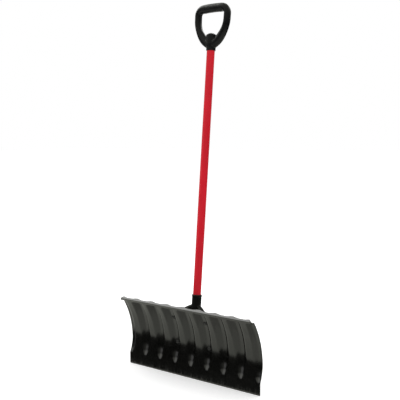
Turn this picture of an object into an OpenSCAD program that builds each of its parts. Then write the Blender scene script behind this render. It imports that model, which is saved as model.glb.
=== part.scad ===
// Snow shovel: a wide fluted blade, a moulded socket bracket behind it, a coated steel shaft and a D-grip.
// The origin is the middle of the cutting edge. +X runs along the edge, +Z is up and -Y is the side that
// meets the snow. The shaft leans back, towards +Y.

/* [Blade] */
// Width of the blade along its cutting edge
blade_w = 610; // [560:5:640]
// Wall of the blade
blade_t = 3.2; // [2.5:0.1:4]
// Height of the upright strip above the cutting edge
strip_h = 45; // [35:1:55]
// How far the middle of the blade stands behind the strip
lean_back = 3; // [2:0.5:4]
// Height at which the forward curl starts
curl_start = 94; // [90:1:98]
// Radius of the curl
curl_r = 270; // [260:1:280]
// Angle that the curl turns through
curl_a = 33; // [32:0.5:34.5]
// Length of the straight lip past the curl
lip_l = 20; // [16:1:24]
// Radius of the upper corners
corner_r = 7; // [4:1:12]
// How far the rim of the lip stands out behind the wall
rim_d = 5.3; // [4:0.1:7]
// How much further the rim stands out behind each flute
rim_bump = 4.5; // [3:0.5:6]
// Half width of the part of the rim that stands out further
rim_bump_r = 28; // [22:1:32]

/* [Flutes] */
// Number of whole flutes, with half a flute at each end of the blade
flutes = 7; // [5:2:7]
// Distance from one flute to the next
pitch = 74.5; // [73:0.5:76]
// Depth of a flute low down
flute_d = 10.5; // [9:0.5:12]
// Depth of a flute at its top
flute_top_d = 16; // [13:0.5:17]
// Depth of the half flutes' tops, at the ends of the blade
end_top_d = 10; // [8:0.5:12]
// Half width of the flat floor of a flute
flute_floor = 6; // [5:0.5:8]
// Width of a flute's sloping side wall, for each millimetre of its depth
flute_wall = 1.4; // [1.2:0.05:1.5]
// Height of the rounded foot of a flute
flute_foot = 37; // [34:1:42]
// Length of the steep part of the ramp, at the foot
flute_step = 24; // [18:1:30]
// Length of the whole ramp, from the foot down to full depth
flute_ramp = 64; // [56:1:75]
// Distance left plain between the top of a flute and the lip
flute_gap = 9; // [7:1:12]

/* [Shaft] */
// Angle that the shaft leans back
shaft_lean = 5; // [3:0.5:7]
// Distance of the shaft's axis behind the cutting edge, at the ground
shaft_set = 8; // [8:0.5:14]
// Outer diameter of the coated shaft
shaft_d = 28.6; // [27:0.1:30]
// Outer diameter of the steel tube under the coat
tube_d = 25.4; // [24:0.1:26]
// Wall of the steel tube
tube_t = 1.2; // [0.9:0.1:2]

/* [Socket bracket] */
// Distance along the shaft from the ground to the socket's lower end
socket_low = 187; // [186:1:194]
// Distance along the shaft from the ground to the socket's rim
socket_rim = 298; // [270:1:320]
// Outer diameter of the socket
socket_d = 34; // [33:0.5:36]
// Height of the two lower blade bolts
low_bolt_z = 117; // [112:1:124]
// Distance of the two upper blade bolts from the cutting edge, along the blade
high_bolt_s = 208; // [205:1:212]

/* [D-grip] */
// Distance along the shaft from the ground to the grip's lower end
grip_low = 1164; // [1000:5:1250]
// Distance from the middle of the grip to the middle of each arm
arm_x = 66; // [58:1:72]
// Height of the grip bar's centre above the grip's lower end
bar_h = 151; // [140:1:160]
// Half height of the grip bar
bar_r = 16; // [13:0.5:18]
// Half width of an arm
arm_r = 11; // [9:0.5:13]
// Half depth of the arms and bar, front to back
arm_b = 15; // [12:0.5:17]
// Diameter of the hub
hub_d = 39; // [37:0.5:42]
// Height of the hub's domed top above the grip's lower end
hub_h = 63; // [58:1:68]

/* [Fasteners] */
// Thread diameter of the bolts
bolt_d = 6; // [5:0.5:6]
// Clearance on the diameter of the bolt holes
hole_play = 0.5; // [0.2:0.1:1]

/* [Hidden] */
$fn = 64;
hull_fn = 32;
deg = 180 / PI;
seat = 0.1;                               // gap left between faces that are bolted together
fit = 0.1;                                // clearance on the diameter of the socket and the grip
curl_end = curl_start + curl_r * curl_a / deg;
lip_s = curl_end + lip_l;                 // length of the blade's section, from edge to lip
flute_top = lip_s - flute_gap;
step_share = 0.45;                        // share of the depth that the steep part of the ramp reaches
min_wall = 1.5;
top_wall = 6;                             // width of the wall that closes the top of a flute
columns = 92;
plain_rows = 23;                          // the blade's rows of points below the last ones, which are closer
top_rows = [17, 13, 10, 7, 4.2, 3, 0];    // distances of the last rows from the lip
rows = plain_rows + len(top_rows) - 1;
rim_t = 4;                                // thickness of the rim, along the blade
rim_round = 1.2;
rim_fade = 14;                            // the rim dies away over this distance at each end
hole_d = bolt_d + hole_play;
pad_r = 12;
pad_t = 5;
wing_x = 60;                              // the outer upper corner of the bracket's webs
wing_y = 13;
wing_z = 238;
washer_r = 8;
washer_t = 1.4;
nut_r = 5.8;                              // across the corners, halved
nut_h = 5;
head_r = 7.5;
head_h = 3.6;
socket_floor = 4;
shaft_low = socket_low + socket_floor;    // both ends of the shaft, measured along its axis
shaft_high = grip_low + 52;
socket_bolt_at = 222;                     // distance along the shaft from the ground to the cross bolt
grip_screw_at = grip_low + 13;
ferrule_h = 14;
ferrule_d = 33.6;
screw_d = 4.2;
screw_head_r = 4.4;
arm_root = 4.5;                           // how much thicker the arms are at the hub
ring_steps = 56;
ring_sides = 14;

// Smooth rise from 0 to 1
function ease(t) = let (c = max(0, min(1, t))) c * c * (3 - 2 * c);

// The blade's section between flutes: [y, z, tilt] at a distance s along it from the cutting edge
function land(s) =
    let (a = max(0, min(curl_a, (s - curl_start) / curl_r * deg)), past = max(0, s - curl_end))
    [lean_back * ease((s - strip_h) / (curl_start - strip_h)) - curl_r * (1 - cos(a)) - past * sin(a),
     min(s, curl_start) + curl_r * sin(a) + past * cos(a),
     a];

// Distance from the middle of the nearest flute; a half flute runs out to the end of the blade
function off_flute(x) = abs(x) > (flutes + 1) / 2 * pitch ? 0 : abs(x - pitch * round(x / pitch));

// Depth of the nearest flute: a slot with a round foot and a ramp up from it, that gets deeper and wider to its top
function groove(x, s) =
    let (high = ease((s - flute_foot) / (flute_top - flute_foot)),
         top_d = abs(x) > flutes / 2 * pitch ? end_top_d : flute_top_d,
         ramp = step_share * ease((s - flute_foot) / flute_step) + (1 - step_share) * ease((s - flute_foot) / flute_ramp),
         depth = (flute_d + (top_d - flute_d) * high) * ramp,
         side = min_wall + flute_wall * depth,
         r = flute_floor + side,
         inside = r - norm([off_flute(x), max(0, flute_foot + r - s)]))
    depth * ease(inside / side) * ease((flute_top - s) / top_wall);

// The middle of the blade's wall, its unit normal towards the back, and its two faces
function wall(x, s) =
    let (p = land(s), d = groove(x, s)) [x, p[0] + d * cos(p[2]), p[1] + d * sin(p[2])];
function normal(x, s, h = 0.5) =
    let (n = cross(wall(x, s + h) - wall(x, s - h), wall(x + h, s) - wall(x - h, s))) n / norm(n);
function face(x, s, side, more = 0) = wall(x, s) + side * (blade_t / 2 + more) * normal(x, s);

// Length of the section at x, shortened where the upper corners are rounded
function section_l(x) =
    let (in = max(0, abs(x) - blade_w / 2 + corner_r))
    lip_s - corner_r + sqrt(max(0, corner_r * corner_r - in * in));
function row_s(j, l) = j < plain_rows ? (l - top_rows[0]) * j / plain_rows : l - top_rows[j - plain_rows];

// How far the rim stands out behind the wall
function rim(x, s) =
    (rim_d + rim_bump * (1 - ease(off_flute(x) / rim_bump_r))) * ease((s - section_l(x) + rim_t) / rim_round)
    * ease((blade_w / 2 - abs(x)) / rim_fade);

module blade_shell() {
    n = rows + 1;
    back = (columns + 1) * n;
    points = [for (side = [-1, 1], i = [0:columns], j = [0:rows])
        let (x = blade_w * (i / columns - 0.5), s = row_s(j, section_l(x))) face(x, s, side, side > 0 ? rim(x, s) : 0)];
    sheet = [for (i = [0:columns - 1], j = [0:rows - 1]) [i * n + j, i * n + j + 1, i * n + n + j + 1, i * n + n + j]];
    rim = concat([for (i = [0:columns - 1]) i * n],
                 [for (j = [0:rows - 1]) columns * n + j],
                 [for (i = [0:columns - 1]) (columns - i) * n + rows],
                 [for (j = [0:rows - 1]) rows - j]);
    faces = concat([for (q = sheet) [q[0], q[1], q[2]]], [for (q = sheet) [q[0], q[2], q[3]]],
                   [for (q = sheet) [q[0] + back, q[2] + back, q[1] + back]],
                   [for (q = sheet) [q[0] + back, q[3] + back, q[2] + back]],
                   [for (k = [0:len(rim) - 1]) let (a = rim[k], b = rim[(k + 1) % len(rim)]) [a, b, b + back]],
                   [for (k = [0:len(rim) - 1]) let (a = rim[k], b = rim[(k + 1) % len(rim)]) [a, b + back, a + back]]);
    polyhedron(points, faces, convexity = 12);
}

// Places its children at one blade bolt, with +Z along the bolt from the blade's front face to its back
module at_bolt(side, s) {
    n = normal(pitch, s);
    translate(face(side * pitch, s, 0)) rotate([atan2(n[2], n[1]) - 90, 0, 0]) children();
}

module at_blade_bolts() {
    for (side = [-1, 1], s = [low_bolt_z, high_bolt_s]) at_bolt(side, s) children();
}

// Places its children on the shaft's axis, at a distance along it from the ground
module on_shaft(at = 0) {
    translate([0, shaft_set, 0]) rotate([-shaft_lean, 0, 0]) translate([0, 0, at]) children();
}

module blade() {
    color("dimgray") difference() {
        blade_shell();
        at_blade_bolts() cylinder(d = hole_d, h = 4 * blade_t, center = true);
    }
}

// One side of the bracket: a web down to the lower bolt, and an arm forward to the upper bolt
module bracket_side(side) {
    pad_at = blade_t / 2 + seat;
    hull() {
        on_shaft(socket_low + 6) translate([side * 11, 0, 0]) cylinder(r = 4, h = 70, $fn = hull_fn);
        translate([side * wing_x, wing_y, wing_z]) sphere(r = 2.5, $fn = hull_fn);
        at_bolt(side, low_bolt_z) translate([0, 0, pad_at]) cylinder(r = pad_r, h = pad_t, $fn = hull_fn);
    }
    hull() {
        on_shaft(socket_low + 46) translate([side * 11, -6, 0]) cylinder(r = 3, h = 26, $fn = hull_fn);
        at_bolt(side, high_bolt_s) translate([0, 0, pad_at]) cylinder(r = pad_r - 2, h = pad_t, $fn = hull_fn);
    }
}

module socket_bracket() {
    nut_room = 14;
    color("dimgray") difference() {
        union() {
            on_shaft(socket_low) cylinder(d = socket_d, h = socket_rim - socket_low);
            on_shaft(socket_rim - 7) cylinder(d = socket_d + 2, h = 5);
            for (x = [-1, 1]) bracket_side(x);
        }
        on_shaft(shaft_low) cylinder(d = shaft_d + fit, h = socket_rim);
        on_shaft(socket_bolt_at) rotate([90, 0, 0]) cylinder(d = hole_d, h = 2 * socket_d, center = true);
        at_blade_bolts() cylinder(d = hole_d, h = 60, center = true);
        // room for the washers and nuts on the pads
        at_blade_bolts() translate([0, 0, blade_t / 2 + seat + pad_t]) cylinder(r = washer_r + 1, h = nut_room);
    }
}

// A carriage bolt: domed head on the front face, shank towards the back
module blade_bolts() {
    dome_r = (head_r * head_r + head_h * head_h) / (2 * head_h);
    shank = blade_t + seat + pad_t + washer_t + nut_h + 3;
    color("black") at_blade_bolts() translate([0, 0, -blade_t / 2 - seat]) {
        intersection() {
            translate([0, 0, dome_r - head_h]) sphere(r = dome_r);
            translate([0, 0, -head_h]) cylinder(r = head_r + 1, h = head_h);
        }
        cylinder(d = bolt_d, h = shank);
    }
}

module washer(thickness = washer_t, r = washer_r) {
    difference() {
        cylinder(r = r, h = thickness);
        translate([0, 0, -1]) cylinder(d = bolt_d + 0.4, h = thickness + 2);
    }
}

module nut() {
    difference() {
        cylinder(r = nut_r, h = nut_h, $fn = 6);
        translate([0, 0, -1]) cylinder(d = bolt_d + 0.1, h = nut_h + 2);
    }
}

module blade_washers() {
    color("silver") at_blade_bolts() translate([0, 0, blade_t / 2 + seat + pad_t]) washer();
}

module blade_nuts() {
    color("silver") at_blade_bolts() translate([0, 0, blade_t / 2 + seat + pad_t + washer_t]) nut();
}

// The cross holes that the socket bolt and the grip screw pass through
module shaft_holes() {
    on_shaft(socket_bolt_at) rotate([90, 0, 0]) cylinder(d = hole_d, h = 2 * shaft_d, center = true);
    on_shaft(grip_screw_at) rotate([-90, 0, 0]) cylinder(d = screw_d, h = shaft_d);
}

module shaft_pipe(outer, inner) {
    difference() {
        on_shaft(shaft_low) cylinder(d = outer, h = shaft_high - shaft_low);
        on_shaft(shaft_low - 1) cylinder(d = inner, h = shaft_high - shaft_low + 2);
        shaft_holes();
    }
}

module shaft_tube() { color("silver") shaft_pipe(tube_d, tube_d - 2 * tube_t); }
module shaft_sleeve() { color("crimson") shaft_pipe(shaft_d, tube_d); }

// The cross bolt: head behind the socket, nut between the socket and the blade
module socket_bolt() {
    reach = socket_d / 2 + seat;
    color("silver") on_shaft(socket_bolt_at) rotate([90, 0, 0]) {
        translate([0, 0, -reach - 4]) cylinder(r = nut_r, h = 4, $fn = 6);
        translate([0, 0, -reach]) cylinder(d = bolt_d, h = 2 * reach + washer_t + nut_h + 2);
    }
}

module socket_washer() {
    color("silver") on_shaft(socket_bolt_at) rotate([90, 0, 0]) translate([0, 0, socket_d / 2 + seat]) washer();
}

module socket_nut() {
    color("silver") on_shaft(socket_bolt_at) rotate([90, 0, 0])
        translate([0, 0, socket_d / 2 + seat + washer_t]) nut();
}

// Half of the D's centre line, from the middle of the bar to the hub, as [x, height]
d_line = [[0, bar_h + 1], [arm_x * 0.40, bar_h + 0.5], [arm_x * 0.79, bar_h - 2], [arm_x * 0.98, bar_h - 14],
          [arm_x, bar_h - 33], [arm_x * 0.975, bar_h - 55], [arm_x * 0.86, bar_h - 78],
          [arm_x * 0.65, bar_h - 100], [arm_x * 0.37, bar_h - 119], [0, bar_h - 130]];
d_spans = len(d_line) - 1;

function d_point(k) = k < 0 ? [-d_line[-k][0], d_line[-k][1]]
    : k > d_spans ? [-d_line[2 * d_spans - k][0], d_line[2 * d_spans - k][1]] : d_line[k];
// Smooth curve through the points; u runs from 0 to 1 over half of the D
function d_curve(u) =
    let (k = min(d_spans - 1, floor(u * d_spans)), t = u * d_spans - k,
         a = d_point(k - 1), b = d_point(k), c = d_point(k + 1), d = d_point(k + 2))
    (2 * b + (c - a) * t + (2 * a - 5 * b + 4 * c - d) * t * t + (3 * b - a - 3 * c + d) * t * t * t) / 2;
function d_half(u) = let (p = d_curve(u)) [p[0], p[1]];
// The whole D, with u from 0 to 1 all the way round
function d_path(u) =
    let (v = u - floor(u), p = v <= 0.5 ? d_half(min(0.9999, 2 * v)) : d_half(min(0.9999, 2 - 2 * v)))
    [v <= 0.5 ? p[0] : -p[0], p[1]];
// Half height of the D's section, which is thickest in the middle of the bar and where the arms meet the hub
function d_half_height(u) = arm_r + (bar_r - arm_r) * (1 - ease((min(u, 1 - u) - 0.06) / 0.13))
    + arm_root * ease((min(u, 1 - u) - 0.3) / 0.12);

// The D as one closed sweep of an oval section
module d_ring() {
    points = [for (k = [0:ring_steps - 1]) let (u = k / ring_steps, p = d_path(u), q = d_path(u + 0.002),
                       t = (q - p) / norm(q - p), out = [-t[1], t[0]])
        for (m = [0:ring_sides - 1]) let (a = 360 * m / ring_sides, w = d_half_height(u) * cos(a))
            [p[0] + out[0] * w, arm_b * sin(a), p[1] + out[1] * w]];
    total = ring_steps * ring_sides;
    quads = [for (k = [0:ring_steps - 1], m = [0:ring_sides - 1])
        let (a = k * ring_sides, b = ((k + 1) % ring_steps) * ring_sides, n = (m + 1) % ring_sides)
        [a + m, a + n, b + n, b + m]];
    polyhedron(points, concat([for (q = quads) [q[0], q[1], q[2]]], [for (q = quads) [q[0], q[2], q[3]]]),
               convexity = 8);
}

module d_grip() {
    dome_h = 8;
    hub_r = hub_d / 2;
    dome_r = (hub_r * hub_r + dome_h * dome_h) / (2 * dome_h);
    color("black") difference() {
        on_shaft(grip_low) {
            d_ring();
            cylinder(d = ferrule_d, h = ferrule_h + 2);
            translate([0, 0, ferrule_h]) cylinder(d1 = ferrule_d, d2 = hub_d, h = 8);
            translate([0, 0, ferrule_h + 8]) cylinder(d = hub_d, h = hub_h - dome_h - ferrule_h - 8);
            intersection() {
                translate([0, 0, hub_h - dome_r]) sphere(r = dome_r);
                translate([0, 0, hub_h - dome_h - 1]) cylinder(d = hub_d, h = dome_h + 2);
            }
        }
        on_shaft(grip_low - 1) cylinder(d = shaft_d + fit, h = shaft_high - grip_low + 1.5);
        on_shaft(grip_screw_at) rotate([-90, 0, 0]) cylinder(d = screw_d, h = hub_d);
    }
}

// Pan head screw through the back of the grip's ferrule into the tube
module grip_screw() {
    inner = tube_d / 2 - tube_t - 4;
    outer = ferrule_d / 2 + seat;
    color("silver") on_shaft(grip_screw_at) rotate([-90, 0, 0]) {
        translate([0, 0, inner]) cylinder(d = screw_d - 0.2, h = outer - inner);
        translate([0, 0, outer]) cylinder(r = screw_head_r, h = 1.6);
        translate([0, 0, outer + 1.6]) cylinder(r1 = screw_head_r, r2 = screw_head_r - 1.4, h = 1);
    }
}

blade();
socket_bracket();
blade_bolts();
blade_washers();
blade_nuts();
shaft_tube();
shaft_sleeve();
socket_bolt();
socket_washer();
socket_nut();
d_grip();
grip_screw();
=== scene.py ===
"""Snow shovel: skins, materials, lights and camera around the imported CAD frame.

Shapes are worked out in millimetres. Matrices, and the frame itself, are in metres.
"""

import math

import bmesh
import bpy
import numpy as np
from mathutils import Matrix, Vector


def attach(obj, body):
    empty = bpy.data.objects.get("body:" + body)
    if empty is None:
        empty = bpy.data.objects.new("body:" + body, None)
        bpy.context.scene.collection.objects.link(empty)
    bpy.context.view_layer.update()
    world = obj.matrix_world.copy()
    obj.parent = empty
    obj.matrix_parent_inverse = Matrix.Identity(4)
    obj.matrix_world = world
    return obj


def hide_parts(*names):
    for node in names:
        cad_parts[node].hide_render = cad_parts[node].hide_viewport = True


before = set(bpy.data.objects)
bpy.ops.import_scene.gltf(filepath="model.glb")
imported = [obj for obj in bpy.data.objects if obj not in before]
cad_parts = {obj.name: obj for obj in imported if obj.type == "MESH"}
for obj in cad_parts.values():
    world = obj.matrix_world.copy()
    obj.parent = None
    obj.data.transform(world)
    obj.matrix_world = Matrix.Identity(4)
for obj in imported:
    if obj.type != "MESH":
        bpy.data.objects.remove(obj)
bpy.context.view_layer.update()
MM = 0.001

# ---------------------------------------------------------------- sizes, as in the CAD part
BLADE_W, BLADE_T, STRIP_H, LEAN_BACK = 610, 3.2, 45, 3
CURL_START, CURL_R, CURL_A, LIP_L, CORNER_R = 94, 270, math.radians(33), 20, 7
RIM_D, RIM_BUMP, RIM_T, RIM_ROUND = 5.3, 4.5, 4, 1.2
FLUTES, PITCH, RIM_BUMP_R, RIM_FADE = 7, 74.5, 28, 14
FLUTE_D, FLUTE_TOP_D, END_TOP_D = 10.5, 16, 10
FLUTE_FLOOR, FLUTE_WALL, MIN_WALL = 6, 1.4, 1.5
FLUTE_FOOT, FLUTE_STEP, FLUTE_RAMP, STEP_SHARE, FLUTE_GAP, TOP_WALL = 37, 24, 64, 0.45, 9, 6
SHAFT_LEAN, SHAFT_SET, SHAFT_D = math.radians(5), 8, 28.6
SOCKET_LOW, SOCKET_RIM, SOCKET_D = 187, 298, 34
LOW_BOLT, HIGH_BOLT, SOCKET_BOLT = 117, 208, 222
SEAT, PAD_R, PAD_T, WASHER_R, WASHER_T = 0.1, 12, 5, 8, 1.4
NUT_R, NUT_H, BOLT_R, HEAD_R, HEAD_H = 5.8, 5, 3, 7.5, 3.6
WING = (60, 13, 238)
GRIP_LOW, ARM_X, BAR_H, BAR_R, ARM_R, ARM_B, ARM_ROOT = 1164, 66, 151, 16, 11, 15, 4.5
HUB_D, HUB_H, FERRULE_D, FERRULE_H, DOME_H = 39, 63, 33.6, 14, 8
SCREW_AT = GRIP_LOW + 13
# play around the shaft on its radius, and how deep the grip is bored for it
FIT, BORE_H = 0.05, 52.5
# the radius that closes a turned form on its axis, and the play drawn around bolts and the socket's bore
AXIS_R, PLAY = 0.01, 0.5

CURL_END = CURL_START + CURL_R * CURL_A
LIP_S = CURL_END + LIP_L
FLUTE_TOP = LIP_S - FLUTE_GAP


# ---------------------------------------------------------------- the blade's surface
def ease(t):
    c = np.clip(t, 0, 1)
    return c * c * (3 - 2 * c)


def off_flute(x):
    return np.where(np.abs(x) > (FLUTES + 1) / 2 * PITCH, 0, np.abs(x - PITCH * np.round(x / PITCH)))


def groove(x, s):
    high = ease((s - FLUTE_FOOT) / (FLUTE_TOP - FLUTE_FOOT))
    top_d = np.where(np.abs(x) > FLUTES / 2 * PITCH, END_TOP_D, FLUTE_TOP_D)
    step = STEP_SHARE * ease((s - FLUTE_FOOT) / FLUTE_STEP)
    ramp = step + (1 - STEP_SHARE) * ease((s - FLUTE_FOOT) / FLUTE_RAMP)
    depth = (FLUTE_D + (top_d - FLUTE_D) * high) * ramp
    side = MIN_WALL + FLUTE_WALL * depth
    r = FLUTE_FLOOR + side
    inside = r - np.hypot(off_flute(x), np.maximum(0, FLUTE_FOOT + r - s))
    return depth * ease(inside / side) * ease((FLUTE_TOP - s) / TOP_WALL)


def wall(x, s):
    a = np.clip((s - CURL_START) / CURL_R, 0, CURL_A)
    past, d = np.maximum(0, s - CURL_END), groove(x, s)
    y = LEAN_BACK * ease((s - STRIP_H) / (CURL_START - STRIP_H)) - CURL_R * (1 - np.cos(a)) - past * np.sin(a)
    z = np.minimum(s, CURL_START) + CURL_R * np.sin(a) + past * np.cos(a)
    return np.stack([x + 0 * d, y + d * np.cos(a), z + d * np.sin(a)], -1)


def normal(x, s, h=0.5):
    n = np.cross(wall(x, s + h) - wall(x, s - h), wall(x + h, s) - wall(x - h, s))
    return n / np.linalg.norm(n, axis=-1, keepdims=True)


def section_l(x):
    inner = np.maximum(0, np.abs(x) - BLADE_W / 2 + CORNER_R)
    return LIP_S - CORNER_R + np.sqrt(np.maximum(0, CORNER_R**2 - inner**2))


def rim(x, s):
    out = RIM_D + RIM_BUMP * (1 - ease(off_flute(x) / RIM_BUMP_R))
    return out * ease((s - section_l(x) + RIM_T) / RIM_ROUND) * ease((BLADE_W / 2 - np.abs(x)) / RIM_FADE)


# ---------------------------------------------------------------- mesh helpers
def piece(name, points, faces, sharp=38, at=None):
    """A mesh object from points in mm, with smooth shading that breaks at sharp edges."""
    me = bpy.data.meshes.new(name)
    me.from_pydata((np.asarray(points, float) * MM).tolist(), [], [tuple(int(i) for i in f) for f in faces])
    if at is not None:
        me.transform(at)
    bm = bmesh.new()
    bm.from_mesh(me)
    bmesh.ops.remove_doubles(bm, verts=bm.verts, dist=1e-6)
    bmesh.ops.recalc_face_normals(bm, faces=bm.faces)
    if bm.calc_volume(signed=True) < 0:
        bmesh.ops.reverse_faces(bm, faces=bm.faces)
    bm.to_mesh(me)
    bm.free()
    shade(me, sharp)
    ob = bpy.data.objects.new(name, me)
    bpy.context.scene.collection.objects.link(ob)
    return ob


def shade(me, sharp):
    me.polygons.foreach_set("use_smooth", [True] * len(me.polygons))
    me.set_sharp_from_angle(angle=math.radians(sharp))
    me.update()


def grid_faces(rows, cols, wrap_rows=False, wrap_cols=True):
    out = []
    for j in range(rows if wrap_rows else rows - 1):
        for i in range(cols if wrap_cols else cols - 1):
            a, b = j * cols + i, j * cols + (i + 1) % cols
            k = ((j + 1) % rows) * cols
            out.append((a, b, k + (i + 1) % cols, k + i))
    return out


def turned(name, rows, n=48, ring=False, sharp=38, at=None):
    """A closed turned form. rows are (z, radius), where the radius is a number or a function of the angle."""
    t = np.arange(n) * 2 * math.pi / n
    pts = []
    for z, r in rows:
        rr = r(t, z) if callable(r) else np.full(n, float(r))
        pts.append(np.stack([rr * np.cos(t), rr * np.sin(t), np.full(n, float(z))], -1))
    faces = grid_faces(len(rows), n, wrap_rows=ring)
    if not ring:
        faces += [tuple(range(n))[::-1], tuple(range((len(rows) - 1) * n, len(rows) * n))]
    return piece(name, np.concatenate(pts), faces, sharp, at)


def joined(name, parts):
    """One object from several separate closed shells."""
    bm = bmesh.new()
    for p in parts:
        bm.from_mesh(p.data)
    me = bpy.data.meshes.new(name)
    bm.to_mesh(me)
    bm.free()
    for p in parts:
        bpy.data.objects.remove(p)
    ob = bpy.data.objects.new(name, me)
    bpy.context.scene.collection.objects.link(ob)
    return ob


def modified(ob, *mods):
    """Applies modifiers in order. Each is (type, settings)."""
    for kind, settings in mods:
        m = ob.modifiers.new(kind, kind)
        for k, v in settings.items():
            setattr(m, k, v)
    dg = bpy.context.evaluated_depsgraph_get()
    me = bpy.data.meshes.new_from_object(ob.evaluated_get(dg))
    ob.modifiers.clear()
    ob.data = me
    return ob


def cut(ob, cutter):
    """Takes the cutter's form out of the object, and removes the cutter."""
    modified(ob, ("BOOLEAN", {"operation": "DIFFERENCE", "object": cutter, "solver": "EXACT"}))
    bpy.data.objects.remove(cutter)


def fused(ob, voxel, passes):
    """One closed skin from overlapping shells, with the joins between them softened."""
    modified(ob, ("REMESH", {"mode": "VOXEL", "voxel_size": voxel * MM}),
             ("SMOOTH", {"factor": 0.5, "iterations": passes}))


def hull(name, points):
    """The convex form around points in mm."""
    bm = bmesh.new()
    for p in points:
        bm.verts.new(Vector(p) * MM)
    bmesh.ops.convex_hull(bm, input=bm.verts)
    loose = [v for v in bm.verts if not v.link_faces]
    bmesh.ops.delete(bm, geom=loose, context="VERTS")
    me = bpy.data.meshes.new(name)
    bm.to_mesh(me)
    bm.free()
    ob = bpy.data.objects.new(name, me)
    bpy.context.scene.collection.objects.link(ob)
    return ob


def on_shaft(at=0.0):
    """The place on the shaft's axis, at mm from its foot, with Z along the shaft."""
    lean = Matrix.Rotation(-SHAFT_LEAN, 4, "X")
    return Matrix.Translation((0, SHAFT_SET * MM, 0)) @ lean @ Matrix.Translation((0, 0, at * MM))


def at_bolt(side, s):
    """The middle of the blade's sheet at a bolt, with Z out of the blade's back."""
    n = normal(np.float64(PITCH), np.float64(s))
    p = wall(np.float64(side * PITCH), np.float64(s))
    return Matrix.Translation(Vector(p) * MM) @ Matrix.Rotation(math.atan2(n[2], n[1]) - math.pi / 2, 4, "X")


def placed(points, at):
    """Points in mm, moved by a matrix in metres."""
    return [at @ (Vector(p) * MM) / MM for p in points]


def disc_points(r, z0, z1, n=40):
    angles = [k * 2 * math.pi / n for k in range(n)]
    return [(r * math.cos(t), r * math.sin(t), z) for t in angles for z in (z0, z1)]


# ---------------------------------------------------------------- blade
def make_blade():
    half = BLADE_W / 2
    near_end = half - np.array([0, 0.3, 0.7, 1.2, 1.8, 2.6, 3.6, 5, 6.5, 8.5, 11])
    xs = np.unique(np.concatenate([np.linspace(-half + 14, half - 14, 233), near_end, -near_end]))
    # rows close together at the cutting edge and, counted down from the lip, around the lip's rim
    edge_h = 5
    low = np.array([0, 0.5, 1.2, 2.2, 3.5])
    lip = np.array([17, 15.5, 14, 12.6, 11.4, 10.2, 9, 7.8, 6.6, 5.4,
                    4.5, 4.0, 3.7, 3.4, 3.1, 2.8, 1.8, 0.8, 0.3, 0])
    x = xs[:, None]
    length = section_l(x)
    plain = edge_h + (length - lip[0] - edge_h) * np.linspace(0, 1, 96)
    s = np.concatenate([np.repeat(low[None], len(xs), 0), plain[:, :-1], length - lip[None]], 1)
    x = np.repeat(x, s.shape[1], 1)
    # the cutting edge is worn to a blunt wedge, and the other edges are softened
    thick = BLADE_T / 2 * (0.42 + 0.58 * ease(s / edge_h))
    soft = 0.35 * (1 - ease((length - s) / 0.8)) + 0.35 * (1 - ease((half - np.abs(x)) / 0.9))
    n = normal(x, s)
    mid = wall(x, s)
    front = mid - (thick - soft)[..., None] * n
    back = mid + (thick - soft + rim(x, s))[..., None] * n
    cols, rows = s.shape
    total = cols * rows
    pts = np.concatenate([front.reshape(-1, 3), back.reshape(-1, 3)])
    sheet = [(i * rows + j, i * rows + j + 1, (i + 1) * rows + j + 1, (i + 1) * rows + j)
             for i in range(cols - 1) for j in range(rows - 1)]
    edge = [i * rows for i in range(cols - 1)] + [(cols - 1) * rows + j for j in range(rows - 1)]
    edge += [i * rows + rows - 1 for i in range(cols - 1, 0, -1)] + [j for j in range(rows - 1, 0, -1)]
    faces = list(sheet) + [tuple(v + total for v in f[::-1]) for f in sheet]
    faces += [(a, b, b + total, a + total) for a, b in zip(edge, edge[1:] + edge[:1])]
    return piece("blade_skin", pts, faces, sharp=42)


# ---------------------------------------------------------------- socket bracket
def bracket_rib(side):
    """A stiffening rib along the web, from the socket out to the lower pad."""
    half_w, height, taper = 1.7, 4.5, 0.7
    a = Vector(placed([(side * 15, 6, 40)], on_shaft(SOCKET_LOW))[0])
    b = Vector(placed([(0, 2, BLADE_T / 2 + SEAT + PAD_T)], at_bolt(side, LOW_BOLT))[0])
    b = b + (a - b) * 0.24
    across = Vector((b.z - a.z, 0, a.x - b.x)).normalized() * half_w
    lift = Vector((0, height, 0))
    foot = [a + across, a - across, b + across, b - across]
    crest = [a + across * taper + lift, a - across * taper + lift]
    crest += [b + across * taper + lift * 0.5, b - across * taper + lift * 0.5]
    return hull("rib", [tuple(p) for p in foot + crest])


def bracket_socket():
    """A bored tube with a rolled rim and a floor."""
    r, bore_r, floor = SOCKET_D / 2, SHAFT_D / 2 + PLAY, SOCKET_LOW + 6
    rows = [(SOCKET_LOW, AXIS_R), (SOCKET_LOW, r - 2), (SOCKET_LOW + 1.2, r - 0.4), (SOCKET_LOW + 3, r),
            (SOCKET_RIM - 9, r), (SOCKET_RIM - 7.5, r + 1), (SOCKET_RIM - 3, r + 1), (SOCKET_RIM - 1.5, r),
            (SOCKET_RIM, r - 0.3), (SOCKET_RIM, bore_r), (floor, bore_r), (floor, AXIS_R)]
    return turned("socket", rows, n=72, at=on_shaft())


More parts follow.
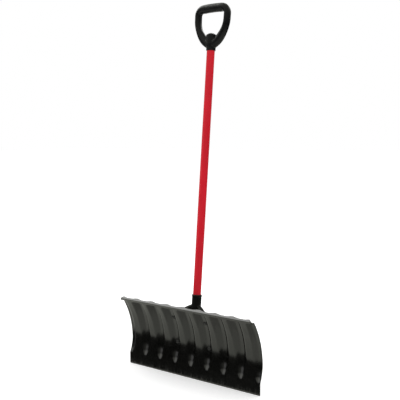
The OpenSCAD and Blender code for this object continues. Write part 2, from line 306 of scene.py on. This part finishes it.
def make_bracket():
    pad = BLADE_T / 2 + SEAT
    around = np.linspace(0, 2 * math.pi, 20)
    tip = [(u, v, w) for u in (-0.58, 0.58) for v in (-0.58, 0.58) for w in (-0.58, 0.58)]
    parts = [bracket_socket()]
    for side in (-1, 1):
        root = [(side * 11 + 4 * math.cos(t), 4 * math.sin(t), z) for t in around for z in (0, 70)]
        web = placed(root, on_shaft(SOCKET_LOW + 6))
        web += [(side * WING[0] + 2.5 * u, WING[1] + 2.5 * v, WING[2] + 2.5 * w) for u, v, w in tip]
        web += placed(disc_points(PAD_R, pad, pad + PAD_T), at_bolt(side, LOW_BOLT))
        root = [(side * 11 + 3 * math.cos(t), -6 + 3 * math.sin(t), z) for t in around for z in (0, 26)]
        arm = placed(root, on_shaft(SOCKET_LOW + 46))
        arm += placed(disc_points(PAD_R - 2, pad, pad + PAD_T), at_bolt(side, HIGH_BOLT))
        for pts in (web, arm):
            solid = hull("web", [tuple(p) for p in pts])
            for s in (LOW_BOLT, HIGH_BOLT):
                # room for the washer and nut, and for a socket spanner
                rows = [(pad + PAD_T, WASHER_R + 1), (pad + PAD_T + 16, WASHER_R + 1)]
                cut(solid, turned("room", rows, n=48, at=at_bolt(side, s)))
            parts.append(solid)
        parts.append(bracket_rib(side))
    ob = joined("socket_bracket_skin", parts)
    fused(ob, voxel=1.15, passes=7)
    shade(ob.data, 60)
    return ob


# ---------------------------------------------------------------- D-grip
# one half of the D's centre line, from the middle of the bar to the hub
D_LINE = np.array([(0, BAR_H + 1), (ARM_X * 0.40, BAR_H + 0.5), (ARM_X * 0.79, BAR_H - 2),
                   (ARM_X * 0.98, BAR_H - 14), (ARM_X, BAR_H - 33), (ARM_X * 0.975, BAR_H - 55),
                   (ARM_X * 0.86, BAR_H - 78),
                   (ARM_X * 0.65, BAR_H - 100), (ARM_X * 0.37, BAR_H - 119), (0, BAR_H - 130)])


def d_path(u):
    """The D's centre line, with u from 0 at the middle of the bar to 1 all the way round."""
    spans = len(D_LINE) - 1
    v = u - math.floor(u)
    w = min(0.9999, 2 * v if v <= 0.5 else 2 - 2 * v) * spans
    k = min(spans - 1, int(w))
    t = w - k

    def at(i):
        if i < 0:
            return D_LINE[-i] * (-1, 1)
        return D_LINE[2 * spans - i] * (-1, 1) if i > spans else D_LINE[i]

    a, b, c, d = at(k - 1), at(k), at(k + 1), at(k + 2)
    p = (2 * b + (c - a) * t + (2 * a - 5 * b + 4 * c - d) * t * t + (3 * b - a - 3 * c + d) * t**3) / 2
    return p if v <= 0.5 else p * (-1, 1)


def make_grip():
    steps, sides, ridge_pitch = 300, 44, 6.0
    pts = []
    for k in range(steps):
        u = k / steps
        p, q = d_path(u), d_path(u + 0.002)
        t = (q - p) / np.linalg.norm(q - p)
        off_bar = min(u, 1 - u)                  # 0 at the middle of the bar, 0.5 at the hub
        half = ARM_R + (BAR_R - ARM_R) * (1 - float(ease((off_bar - 0.06) / 0.13)))
        half += ARM_ROOT * float(ease((off_bar - 0.3) / 0.12))
        # plain ridges across the middle of the bar, where the palm goes
        on_bar = 1 - float(ease((abs(p[0]) - 30) / 5)) if p[1] > BAR_H - 8 else 0.0
        ridge = 0.45 * on_bar * (math.cos(p[0] * 2 * math.pi / ridge_pitch) - 1)
        for m in range(sides):
            a = 2 * math.pi * m / sides
            w, d = (half + ridge) * math.cos(a), (ARM_B + ridge) * math.sin(a)
            pts.append((p[0] - t[1] * w, d, p[1] + t[0] * w))
    ring = piece("ring", pts, grid_faces(steps, sides, wrap_rows=True), at=on_shaft(GRIP_LOW))
    r, fr = HUB_D / 2, FERRULE_D / 2
    dome_r = (r * r + DOME_H * DOME_H) / (2 * DOME_H)
    rows = [(0, fr - 1.2), (0.5, fr - 0.3), (1.5, fr), (FERRULE_H - 1.5, fr), (FERRULE_H, fr + 0.1),
            (FERRULE_H + 8, r), (HUB_H - DOME_H - 1, r)]
    for k in range(0, 13):
        c = r * math.cos(k / 12 * math.pi / 2)
        rows.append((HUB_H - dome_r + math.sqrt(dome_r**2 - c * c), max(c, AXIS_R)))
    hub = turned("hub", rows, n=80, at=on_shaft(GRIP_LOW))
    ob = joined("d_grip_skin", [ring, hub])
    fused(ob, voxel=1.0, passes=6)
    bore_r = SHAFT_D / 2 + FIT
    cut(ob, turned("bore", [(-1, bore_r), (BORE_H, bore_r)], n=96, at=on_shaft(GRIP_LOW)))
    shade(ob.data, 80)
    return ob


# ---------------------------------------------------------------- fasteners
def hexagon(r, chamfer=0.0, low=None, high=None):
    """Radius of a hexagon across the corners 2r, cut by a cone at each chamfered end."""
    def radius(t, z):
        flat = r * math.cos(math.pi / 6) / np.cos((t % (math.pi / 3)) - math.pi / 6)
        limit = r
        if low is not None:
            limit = min(limit, r - chamfer + (z - low) * 1.7)
        if high is not None:
            limit = min(limit, r - chamfer + (high - z) * 1.7)
        return np.minimum(flat, limit)
    return radius


def nut(name, z, at):
    """A hexagon nut with its two ends chamfered outside and countersunk inside."""
    heights = (0, 0.15, 0.3, 0.45, 0.6, 2.5, 4.4, 4.55, 4.7, 4.85, NUT_H)
    outside = hexagon(NUT_R, 0.8, z, z + NUT_H)
    rows = [(z, BOLT_R + PLAY)] + [(z + h, outside) for h in heights]
    rows += [(z + NUT_H, BOLT_R + PLAY), (z + NUT_H - 0.5, BOLT_R + 0.02), (z + 0.5, BOLT_R + 0.02)]
    return turned(name, rows, n=72, ring=True, at=at)


def washer(name, z, at):
    e, top = 0.18, z + WASHER_T
    rows = [(z, WASHER_R - e), (z + e, WASHER_R), (top - e, WASHER_R), (top, WASHER_R - e),
            (top, BOLT_R + 0.35), (top - 0.1, BOLT_R + 0.25), (z + 0.1, BOLT_R + 0.25), (z, BOLT_R + 0.35)]
    return turned(name, rows, n=64, ring=True, at=at)


def thread_rows(low, high, r=BOLT_R, lead=1.0, step=0.2):
    """Rows of a threaded shank with a pointed end."""
    def radius(t, z):
        wave = np.abs(((z / lead - t / (2 * math.pi)) % 1) * 2 - 1)
        end = min(1, (high - z) / 0.7)
        return r - 0.32 * wave * min(1, (z - low) / 0.8) - 0.5 * (1 - end)
    return [(z, radius) for z in np.arange(low, high + 1e-6, step)]


def blade_bolt(at):
    """A dome-headed bolt through the blade, the bracket's pad, the washer and the nut."""
    face, pad = -BLADE_T / 2 - SEAT, BLADE_T / 2 + SEAT + PAD_T
    dome_r = (HEAD_R**2 + HEAD_H**2) / (2 * HEAD_H)
    rows = []
    for k in range(15):
        c = HEAD_R * math.sin(k / 14 * math.pi / 2)
        rows.append((face - HEAD_H + dome_r - math.sqrt(dome_r**2 - c * c), max(c, AXIS_R)))
    rows += [(face - 0.25, HEAD_R), (face, HEAD_R - 0.3), (face, BOLT_R), (BLADE_T / 2, BOLT_R)]
    return turned("bolt", rows + thread_rows(pad - 1, pad + WASHER_T + NUT_H + 3), n=48, at=at)


def socket_bolt(at):
    """A hexagon-headed bolt across the socket."""
    reach, head_h = SOCKET_D / 2 + SEAT, 4
    low = -reach - head_h
    side = hexagon(NUT_R, 0.8, low)
    rows = [(low, AXIS_R), (low, hexagon(NUT_R - 1.2))]
    rows += [(low + h, side) for h in (0, 0.15, 0.3, 0.5, 2, head_h)]
    rows += [(-reach, BOLT_R), (reach - 1, BOLT_R)]
    rows += thread_rows(reach - 0.9, reach + WASHER_T + NUT_H + 2)
    return turned("socket_bolt_skin", rows, n=72, at=at)


def grip_screw():
    """A pan head screw. Its cross recess is the middle of the head, pressed in along two lines."""
    at = on_shaft(SCREW_AT) @ Matrix.Rotation(-math.pi / 2, 4, "X")
    outer = FERRULE_D / 2 + SEAT
    n, cross_w, cross_r, cross_d = 96, 0.42, 2.6, 1.1
    rings = [4.4, 4.4, 4.2, 3.8, 3.2, 2.8, 2.4, 2.0, 1.6, 1.2, 0.9, 0.6, 0.3]
    tops = [0, 1.4, 1.9, 2.2, 2.38, 2.45, 2.5, 2.53, 2.55, 2.57, 2.58, 2.59, 2.6]
    pts = []
    for r, z in zip(rings, tops):
        for k in range(n):
            t = 2 * math.pi * k / n
            px, py = r * math.cos(t), r * math.sin(t)
            pressed = 1.0 if r < 0.7 else 0
            if min(abs(px), abs(py)) < cross_w and 0.5 < r < cross_r:
                pressed = cross_d * (1 - r / 3.4)
            pts.append((px, py, outer + z - pressed))
    faces = grid_faces(len(rings), n)
    faces += [tuple(range((len(rings) - 1) * n, len(rings) * n)), tuple(range(n))[::-1]]
    head = piece("head", pts, faces, sharp=30, at=at)
    shank = turned("shank", [(SHAFT_D / 2 - 7, 0.4), (SHAFT_D / 2 - 5, 1.9), (outer, 1.9)], n=32, at=at)
    return joined("grip_screw_skin", [head, shank])


def make_fasteners():
    """Every fastener's skin, with the node it replaces and its material."""
    bolts, washers, nuts = [], [], []
    pad = BLADE_T / 2 + SEAT + PAD_T
    for side in (-1, 1):
        for s in (LOW_BOLT, HIGH_BOLT):
            at = at_bolt(side, s)
            bolts.append(blade_bolt(at))
            washers.append(washer("washer", pad, at))
            nuts.append(nut("nut", pad + WASHER_T, at))
    across = on_shaft(SOCKET_BOLT) @ Matrix.Rotation(math.pi / 2, 4, "X")
    reach = SOCKET_D / 2 + SEAT
    made = [(joined("blade_bolts_skin", bolts), "blade_bolts", "black_steel"),
            (joined("blade_washers_skin", washers), "blade_washers", "zinc_steel"),
            (joined("blade_nuts_skin", nuts), "blade_nuts", "zinc_steel"),
            (socket_bolt(across), "socket_bolt", "zinc_steel"),
            (washer("socket_washer_skin", reach, across), "socket_washer", "zinc_steel"),
            (nut("socket_nut_skin", reach + WASHER_T, across), "socket_nut", "zinc_steel"),
            (grip_screw(), "grip_screw", "zinc_steel")]
    for ob, _, _ in made:
        shade(ob.data, 33)
    return made


# ---------------------------------------------------------------- materials
def material(name, roughness, metallic=0.0, **fixed):
    """A Principled material, and the helpers that build its nodes. fixed sets the shader's own sockets."""
    m = bpy.data.materials.new(name)
    m.use_nodes = True
    tree = m.node_tree
    shader = tree.nodes["Principled BSDF"]
    shader.inputs["Metallic"].default_value = metallic
    shader.inputs["Roughness"].default_value = roughness
    for k, v in fixed.items():
        shader.inputs[k.replace("_", " ")].default_value = v
    place = tree.nodes.new("ShaderNodeTexCoord")

    def node(kind, **settings):
        n = tree.nodes.new(kind)
        for k, v in settings.items():
            setattr(n, k, v)
        return n

    def noise(scale, detail=3, stretch=(1, 1, 1)):
        mapping = node("ShaderNodeMapping")
        mapping.inputs["Scale"].default_value = stretch
        tree.links.new(place.outputs["Object"], mapping.inputs["Vector"])
        n = node("ShaderNodeTexNoise")
        n.inputs["Scale"].default_value = scale
        n.inputs["Detail"].default_value = detail
        tree.links.new(mapping.outputs["Vector"], n.inputs["Vector"])
        return n.outputs["Fac"]

    def ramp(value, low, high, a, b):
        r = node("ShaderNodeMapRange")
        r.interpolation_type = "SMOOTHSTEP"
        for k, v in zip(("From Min", "From Max", "To Min", "To Max"), (low, high, a, b)):
            r.inputs[k].default_value = v
        tree.links.new(value, r.inputs["Value"])
        return r.outputs["Result"]

    def maths(op, a, b):
        n = node("ShaderNodeMath", operation=op)
        for i, v in enumerate((a, b)):
            if isinstance(v, (int, float)):
                n.inputs[i].default_value = v
            else:
                tree.links.new(v, n.inputs[i])
        return n.outputs["Value"]

    def mixed(fac, a, b):
        n = node("ShaderNodeMix", data_type="RGBA")
        tree.links.new(fac, n.inputs["Factor"])
        for i, v in (("A", a), ("B", b)):
            s = [x for x in n.inputs if x.name == i and x.type == "RGBA"][0]
            if isinstance(v, tuple):
                s.default_value = (*v, 1)
            else:
                tree.links.new(v, s)
        return [x for x in n.outputs if x.type == "RGBA"][0]

    def bump(height, strength, distance, after=None):
        n = node("ShaderNodeBump")
        n.inputs["Strength"].default_value = strength
        n.inputs["Distance"].default_value = distance
        tree.links.new(height, n.inputs["Height"])
        if after is not None:
            tree.links.new(after, n.inputs["Normal"])
        return n.outputs["Normal"]

    def axis(k):
        n = node("ShaderNodeSeparateXYZ")
        tree.links.new(place.outputs["Object"], n.inputs["Vector"])
        return n.outputs[k]

    def link(value, socket):
        tree.links.new(value, shader.inputs[socket])

    return m, dict(noise=noise, ramp=ramp, maths=maths, mixed=mixed, bump=bump, axis=axis, link=link)


def blade_plastic():
    m, k = material("blade_plastic", 0.12, Specular_IOR_Level=0.5)
    z = k["axis"]("Z")
    scuff = k["noise"](60, 5, (1, 1, 0.12))
    fine = k["noise"](420, 3, (1, 1, 0.06))
    # wear near the cutting edge: fine upright scratches that fade out in the first 30 mm
    worn = k["maths"]("MULTIPLY", k["ramp"](z, 0.0, 0.03, 1, 0), k["ramp"](fine, 0.42, 0.62, 0, 1))
    worn = k["maths"]("MULTIPLY", worn, k["ramp"](scuff, 0.35, 0.6, 0.3, 1))
    cloud = k["ramp"](k["noise"](9, 4), 0.3, 0.7, 0, 1)
    tone = k["mixed"](cloud, (0.0022, 0.0022, 0.0020), (0.0036, 0.0036, 0.0033))
    k["link"](k["mixed"](worn, tone, (0.016, 0.016, 0.015)), "Base Color")
    polish = k["ramp"](k["noise"](24, 4), 0.3, 0.7, 0.09, 0.14)
    k["link"](k["maths"]("ADD", polish, k["maths"]("MULTIPLY", worn, 0.3)), "Roughness")
    skin = k["bump"](k["noise"](900, 2), 0.12, 0.0002)
    k["link"](k["bump"](k["noise"](14, 2, (1, 1, 0.5)), 0.03, 0.002, skin), "Normal")
    return m


def moulded_plastic(name, dark, light, low, high):
    """Black plastic with a fine moulded grain. low and high bound its roughness."""
    m, k = material(name, 0.4, Specular_IOR_Level=0.17)
    k["link"](k["mixed"](k["ramp"](k["noise"](18, 5), 0.3, 0.7, 0, 1), dark, light), "Base Color")
    k["link"](k["ramp"](k["noise"](45, 4), 0.3, 0.7, low, high), "Roughness")
    k["link"](k["bump"](k["noise"](1500, 3), 0.35, 0.0003), "Normal")
    return m


def red_coat():
    m, k = material("red_coat", 0.3, Specular_IOR_Level=0.22, Coat_Weight=0.12, Coat_Roughness=0.12)
    mottle = k["ramp"](k["noise"](30, 4, (1, 1, 0.2)), 0.3, 0.7, 0, 1)
    k["link"](k["mixed"](mottle, (0.50, 0.004, 0.014), (0.58, 0.006, 0.019)), "Base Color")
    k["link"](k["ramp"](k["noise"](70, 4, (1, 1, 0.1)), 0.3, 0.7, 0.24, 0.36), "Roughness")
    k["link"](k["bump"](k["noise"](260, 2, (1, 1, 0.15)), 0.12, 0.0003), "Normal")
    return m


def steel(name, dark, light, low, high, metallic=1.0):
    """Mottled plated steel. low and high bound its roughness."""
    m, k = material(name, 0.35, metallic)
    k["link"](k["mixed"](k["ramp"](k["noise"](220, 5), 0.3, 0.7, 0, 1), dark, light), "Base Color")
    k["link"](k["ramp"](k["noise"](500, 4), 0.3, 0.7, low, high), "Roughness")
    k["link"](k["bump"](k["noise"](2200, 2), 0.15, 0.0001), "Normal")
    return m


mats = {
    "blade_plastic": blade_plastic(),
    "bracket_plastic": moulded_plastic("bracket_plastic", (0.0035, 0.0035, 0.0035), (0.006, 0.006, 0.006),
                                       0.3, 0.42),
    "grip_plastic": moulded_plastic("grip_plastic", (0.003, 0.003, 0.0034), (0.0055, 0.0055, 0.006),
                                    0.26, 0.38),
    "red_coat": red_coat(),
    "tube_steel": steel("tube_steel", (0.42, 0.42, 0.43), (0.56, 0.56, 0.57), 0.3, 0.45),
    "zinc_steel": steel("zinc_steel", (0.5, 0.5, 0.48), (0.68, 0.67, 0.62), 0.25, 0.42),
    "black_steel": steel("black_steel", (0.012, 0.012, 0.012), (0.025, 0.025, 0.025), 0.3, 0.45, 0.4),
}


def finish_piece(ob, node, slot):
    ob.data.materials.clear()
    ob.data.materials.append(mats[slot])
    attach(ob, "root")
    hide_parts(node)


finish_piece(make_blade(), "blade", "blade_plastic")
finish_piece(make_bracket(), "socket_bracket", "bracket_plastic")
finish_piece(make_grip(), "d_grip", "grip_plastic")
for ob, node, slot in make_fasteners():
    finish_piece(ob, node, slot)
for node, slot in (("shaft_tube", "tube_steel"), ("shaft_sleeve", "red_coat")):
    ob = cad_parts[node]
    ob.data.materials.clear()
    ob.data.materials.append(mats[slot])
    shade(ob.data, 38)


# ---------------------------------------------------------------- camera
def make_camera():
    """A view from the front right, from about two thirds of the shovel's height."""
    azimuth, pitch_down = math.radians(40.55), math.radians(4.51)
    distance, height, side = 2.7779, 0.8547, 0.0329
    right = Vector((math.cos(azimuth), math.sin(azimuth), 0))
    cam = bpy.data.objects.new("camera", bpy.data.cameras.new("camera"))
    bpy.context.scene.collection.objects.link(cam)
    cam.location = Vector((math.sin(azimuth), -math.cos(azimuth), 0)) * distance
    cam.location += right * side + Vector((0, 0, height))
    cam.rotation_euler = (math.pi / 2 - pitch_down, 0, azimuth)
    cam.data.lens, cam.data.sensor_width = 71.75, 36
    bpy.context.scene.camera = cam


# ---------------------------------------------------------------- stage and light
def make_stage():
    """A pale floor, wide enough to reach the horizon and just under the cutting edge."""
    n, width, drop = 24, 80000, 0.3
    across = [(i / n - 0.5) * width for i in range(n + 1)]
    points = [(x, y, -drop) for y in across for x in across]
    floor = piece("floor", points, grid_faces(n + 1, n + 1, wrap_cols=False))
    m, k = material("pale_floor", 0.9, Emission_Color=(1, 1, 1, 1), Emission_Strength=0.35)
    k["link"](k["mixed"](k["noise"](3, 2), (0.86, 0.86, 0.86), (0.88, 0.88, 0.88)), "Base Color")
    floor.data.materials.append(m)
    floor.visible_glossy = False


def make_studio():
    """The world: white behind the object, an even soft light, and a studio with a dark middle for the gloss."""
    # brightness of the reflected studio, from straight down (0) to straight up (1)
    stops = [(0.0, 0.8), (0.122, 0.8), (0.134, 0.95), (0.300, 1.0), (0.320, 0.05),
             (0.42, 0.02), (0.53, 0.03), (0.57, 0.3), (0.66, 0.9), (1.0, 1.0)]
    warm = (0.98, 1, 0.88)
    world = bpy.data.worlds.new("studio")
    bpy.context.scene.world = world
    world.use_nodes = True
    tree = world.node_tree
    tree.nodes.clear()

    def node(kind):
        return tree.nodes.new(kind)

    def background(strength):
        n = node("ShaderNodeBackground")
        n.inputs["Color"].default_value = (1, 1, 1, 1)
        n.inputs["Strength"].default_value = strength
        return n

    def chosen(ray, other, this):
        """this for the rays of one kind, and other for the rest."""
        n = node("ShaderNodeMixShader")
        tree.links.new(path.outputs[ray], n.inputs["Fac"])
        tree.links.new(other.outputs[0], n.inputs[1])
        tree.links.new(this.outputs[0], n.inputs[2])
        return n

    direction, split = node("ShaderNodeTexCoord"), node("ShaderNodeSeparateXYZ")
    level, studio = node("ShaderNodeMapRange"), node("ShaderNodeValToRGB")
    path, out = node("ShaderNodeLightPath"), node("ShaderNodeOutputWorld")
    tree.links.new(direction.outputs["Generated"], split.inputs["Vector"])
    level.inputs["From Min"].default_value, level.inputs["From Max"].default_value = -1, 1
    tree.links.new(split.outputs["Z"], level.inputs["Value"])
    tree.links.new(level.outputs["Result"], studio.inputs["Fac"])
    while len(studio.color_ramp.elements) < len(stops):
        studio.color_ramp.elements.new(0.5)
    for e, (at, value) in zip(studio.color_ramp.elements, stops):
        e.position, e.color = at, (*(value * c for c in warm), 1)
    mirror = background(1.0)
    tree.links.new(studio.outputs["Color"], mirror.inputs["Color"])
    lit = chosen("Is Glossy Ray", background(0.85), mirror)
    seen = chosen("Is Camera Ray", lit, background(1.0))
    tree.links.new(seen.outputs[0], out.inputs["Surface"])


def soft_light(name, azimuth, elevation, distance, size, power, target=0.5):
    """An area light that looks at the point on the Z axis at the height target."""
    az, el = math.radians(azimuth), math.radians(elevation)
    data = bpy.data.lights.new(name, "AREA")
    data.shape, data.size, data.size_y, data.energy = "RECTANGLE", size[0], size[1], power
    ob = bpy.data.objects.new(name, data)
    bpy.context.scene.collection.objects.link(ob)
    toward = Vector((math.sin(az) * math.cos(el), -math.cos(az) * math.cos(el), math.sin(el)))
    ob.location = Vector((0, 0, target)) + toward * distance
    ob.rotation_mode = "QUATERNION"
    ob.rotation_quaternion = toward.to_track_quat("Z", "Y")


make_camera()
make_stage()
make_studio()
soft_light("key", -42, 13, 3.2, (1.5, 1.1), 4, target=0.1)
soft_light("left_back", -112, 0, 3.0, (2.6, 2.6), 9, target=0.2)
soft_light("top_left", -90, 50, 3.0, (1.6, 1.6), 26)
soft_light("back", 190, 40, 3.0, (2.0, 1.2), 25)
bpy.context.scene.view_settings.view_transform = "Standard"
